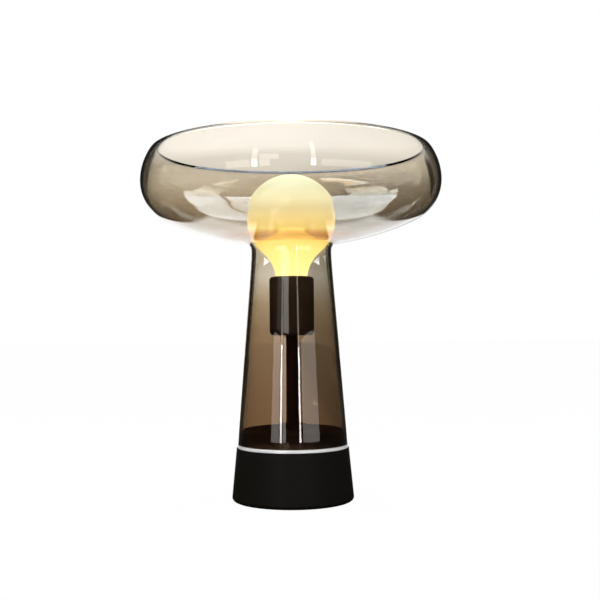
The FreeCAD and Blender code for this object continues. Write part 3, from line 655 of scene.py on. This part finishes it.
table_left = between(TABLE_LEFT - TABLE_LEFT_FLARE * floor_y - floor_x, -EDGE, EDGE)
table_left = table_left * between(floor_y, *TABLE_LEFT_START)
table_right = between(TABLE_RIGHT - TABLE_RIGHT_FLARE * floor_y + floor_x, -EDGE, EDGE)
table_right = table_right * between(floor_y, *TABLE_RIGHT_START)
table = table_left * between(floor_x, 0.0, 0.001) + table_right * between(floor_x, 0.001, 0.0)
off_the_card = abs(floor_x + CARD_LEAN * floor_y - CARD_LINE) + CARD_TAPER * floor_y
front = from_bowl * between(floor_y, *FRONT_START) * (1 - table)
front = front * between(off_the_card, EDGE, 2 * EDGE)
sweep_through = SWEEP_THROUGH_GLASS + SWEEP_MORE_LEFT * between(floor_x, *SWEEP_LEFT)
floor_light = (
    to_camera * FLOOR_FOR_CAMERA
    + to_gloss * (FLOOR_IN_GLOSS + SWEEP_IN_GLOSS * sweep)
    + to_glass * (FLOOR_THROUGH_GLASS + sweep * sweep_through)
    + in_bowl * front * (FLOOR_IN_BOWL + FLOOR_MORE_LEFT * between(floor_x, *FRONT_LEFT))
)
floor_tint = pale.blend(in_bowl, PLAIN_WHITE, COOL_WHITE)
matt = pale.node("ShaderNodeBsdfDiffuse", values={"Color": FLOOR_GREY})
lit = pale.node("ShaderNodeEmission", values={"Color": floor_tint, "Strength": floor_light})
seen_lit = to_camera * LIT_FOR_CAMERA + to_gloss + to_glass
floor_shader = pale.node("ShaderNodeMixShader", values={0: seen_lit, 1: matt, 2: lit})
pale.node("ShaderNodeOutputMaterial", values={"Surface": floor_shader})
floor.data.materials.append(pale.owner)

world = bpy.data.worlds.new("studio")
bpy.context.scene.world = world
sky = Finish("studio", world)
direction = sky.node("ShaderNodeTexCoord", output="Generated")
across, away, upward = (along(direction, axis) for axis in "XYZ")
camera_ray, glossy_ray, through_ray, inside_bowl, _ = light_path(sky)

# Behind and over the lamp: the backdrop with its softer margin, and the canopy.
spread = abs(across) + BACKDROP_LEAN * between(upward, 0.0, 1.0)
cut_right = BACKDROP_CUT * between(across, *CUT_ACROSS) * between(upward, *CUT_ABOVE)
backdrop = between(spread + cut_right, *BACKDROP_EDGE) * between(away, *BEHIND)
margin = between(spread, *MARGIN_EDGE) * between(away, *BEHIND)
right_shade = 1 - SHADE * between(across, *SHADE_ACROSS) * between(upward, *SHADE_BELOW)
canopy = between(upward, *CANOPY_RISE) * between(away, *CANOPY_BACK) * between(away, *CANOPY_FADE)
canopy = canopy * (1 - CANOPY_SHADE * between(across, *CANOPY_RIGHT)) * (1 - inside_bowl)
outside = BACKDROP_DARK + (backdrop * BACKDROP_LIGHT + margin * MARGIN_LIGHT) * right_shade
outside = outside + canopy * CANOPY_LIGHT

# In front of the lamp: the room at both sides, and its middle above the edge of the dark table.
in_front = between(away, *IN_FRONT)
room_sides = between(upward - SIDE_LEAN * away, *SIDE_EDGE) * (1 - between(away, *MIDDLE_EDGE))
middle = away + MIDDLE_STEP * between(across, -EDGE, EDGE)
table_edge = TABLE_TOP - TABLE_DROP * between(across, 0.0, -EDGE) * between(away, *TABLE_CORNER)
room_middle = between(upward - table_edge, -EDGE, EDGE) * between(middle, *MIDDLE_EDGE)
room_middle = room_middle * (1 - BAND * between(upward, *BAND_FOOT) * between(upward, *BAND_TOP))
room = in_front * (room_sides + room_middle) * (1 + ROOM_MORE_LEFT * between(across, *ROOM_LEFT))

seen_in_glass = glossy_ray + through_ray
studio_light = (
    camera_ray
    + seen_in_glass * (outside + inside_bowl * room * ROOM_LIGHT)
    + (1 - camera_ray - seen_in_glass) * FILL_LIGHT
)
studio_tint = sky.blend(inside_bowl * room, PLAIN_WHITE, COOL_WHITE)
surroundings = sky.node(
    "ShaderNodeBackground", values={"Color": studio_tint, "Strength": studio_light}
)
sky.node("ShaderNodeOutputWorld", values={"Surface": surroundings})


def soft_box(name, turn, heights, brightness, reach=1.3, mirrored=True, through=True):
    """A light that faces the lamp's axis, between two compass angles, where 0 is the camera's side."""
    left, right = (math.radians(angle) for angle in turn)
    bottom, top = heights
    lamp = bpy.data.lights.new(name, "AREA")
    lamp.shape = "RECTANGLE"
    lamp.size = 2 * reach * math.tan((right - left) / 2)
    lamp.size_y = top - bottom
    lamp.energy = brightness * math.pi * lamp.size * lamp.size_y
    box = bpy.data.objects.new(name, lamp)
    bpy.context.scene.collection.objects.link(box)
    middle_angle = (left + right) / 2
    box.location = (reach * math.sin(middle_angle), -reach * math.cos(middle_angle), (bottom + top) / 2)
    box.rotation_euler = (RIGHT_ANGLE, 0.0, middle_angle)
    box.visible_camera = False
    box.visible_glossy = mirrored
    box.visible_transmission = mirrored and through


LOW, HIGH, STRIP = (0.0, 0.35), (0.36, 0.6), (0.0, 0.33)
LEFT_STRIP, RIGHT_STRIP = (-26.5, -22.5), (13.8, 17)
soft_box("left_low_box", (-45, -28), LOW, 2.0)
soft_box("left_near_box", (-21, -14), LOW, 2.4)
soft_box("right_low_box", (21, 57), LOW, 1.8)
soft_box("left_high_box", (-38, -28), HIGH, 0.4)
soft_box("middle_high_box", (-21, -8), HIGH, 2.4)
soft_box("left_strip", LEFT_STRIP, STRIP, 21.0, through=False)
soft_box("right_strip", RIGHT_STRIP, STRIP, 23.0, through=False)
soft_box("left_strip_top", LEFT_STRIP, (0.33, 0.85), 3.0)
soft_box("right_strip_top", RIGHT_STRIP, (0.33, 1.2), 3.0)
soft_box("left_fill", (-120, -80), (0.0, 1.2), 2.5, reach=1.2, mirrored=False)
soft_box("right_fill", (80, 120), (0.0, 1.2), 2.5, reach=1.2, mirrored=False)
soft_box("front_fill", (-30, 30), (0.6, 1.8), 1.0, reach=2.0, mirrored=False)


# Camera. Level with the middle of the lamp, 850 mm in front of its axis and turned by a hair, as
# the photograph was taken. Its shift only frames the lamp as the photograph does.
CAMERA_BACK = 0.850
CAMERA_HEIGHT = 0.1519
CAMERA_ROLL = math.radians(0.45)
FOCAL_PIXELS = 935.0
FRAME_PIXELS = 600.0
SENSOR = 36.0

camera_data = bpy.data.cameras.new("camera")
camera_data.sensor_width = SENSOR
camera_data.lens = FOCAL_PIXELS * SENSOR / FRAME_PIXELS
camera_data.shift_x = 0.0134
camera_data.shift_y = 0.0553
camera = bpy.data.objects.new("camera", camera_data)
bpy.context.scene.collection.objects.link(camera)
camera.location = (0.0, -CAMERA_BACK, CAMERA_HEIGHT)
camera.rotation_euler = (RIGHT_ANGLE, CAMERA_ROLL, 0.0)
bpy.context.scene.camera = camera
bpy.context.scene.view_settings.view_transform = "Standard"
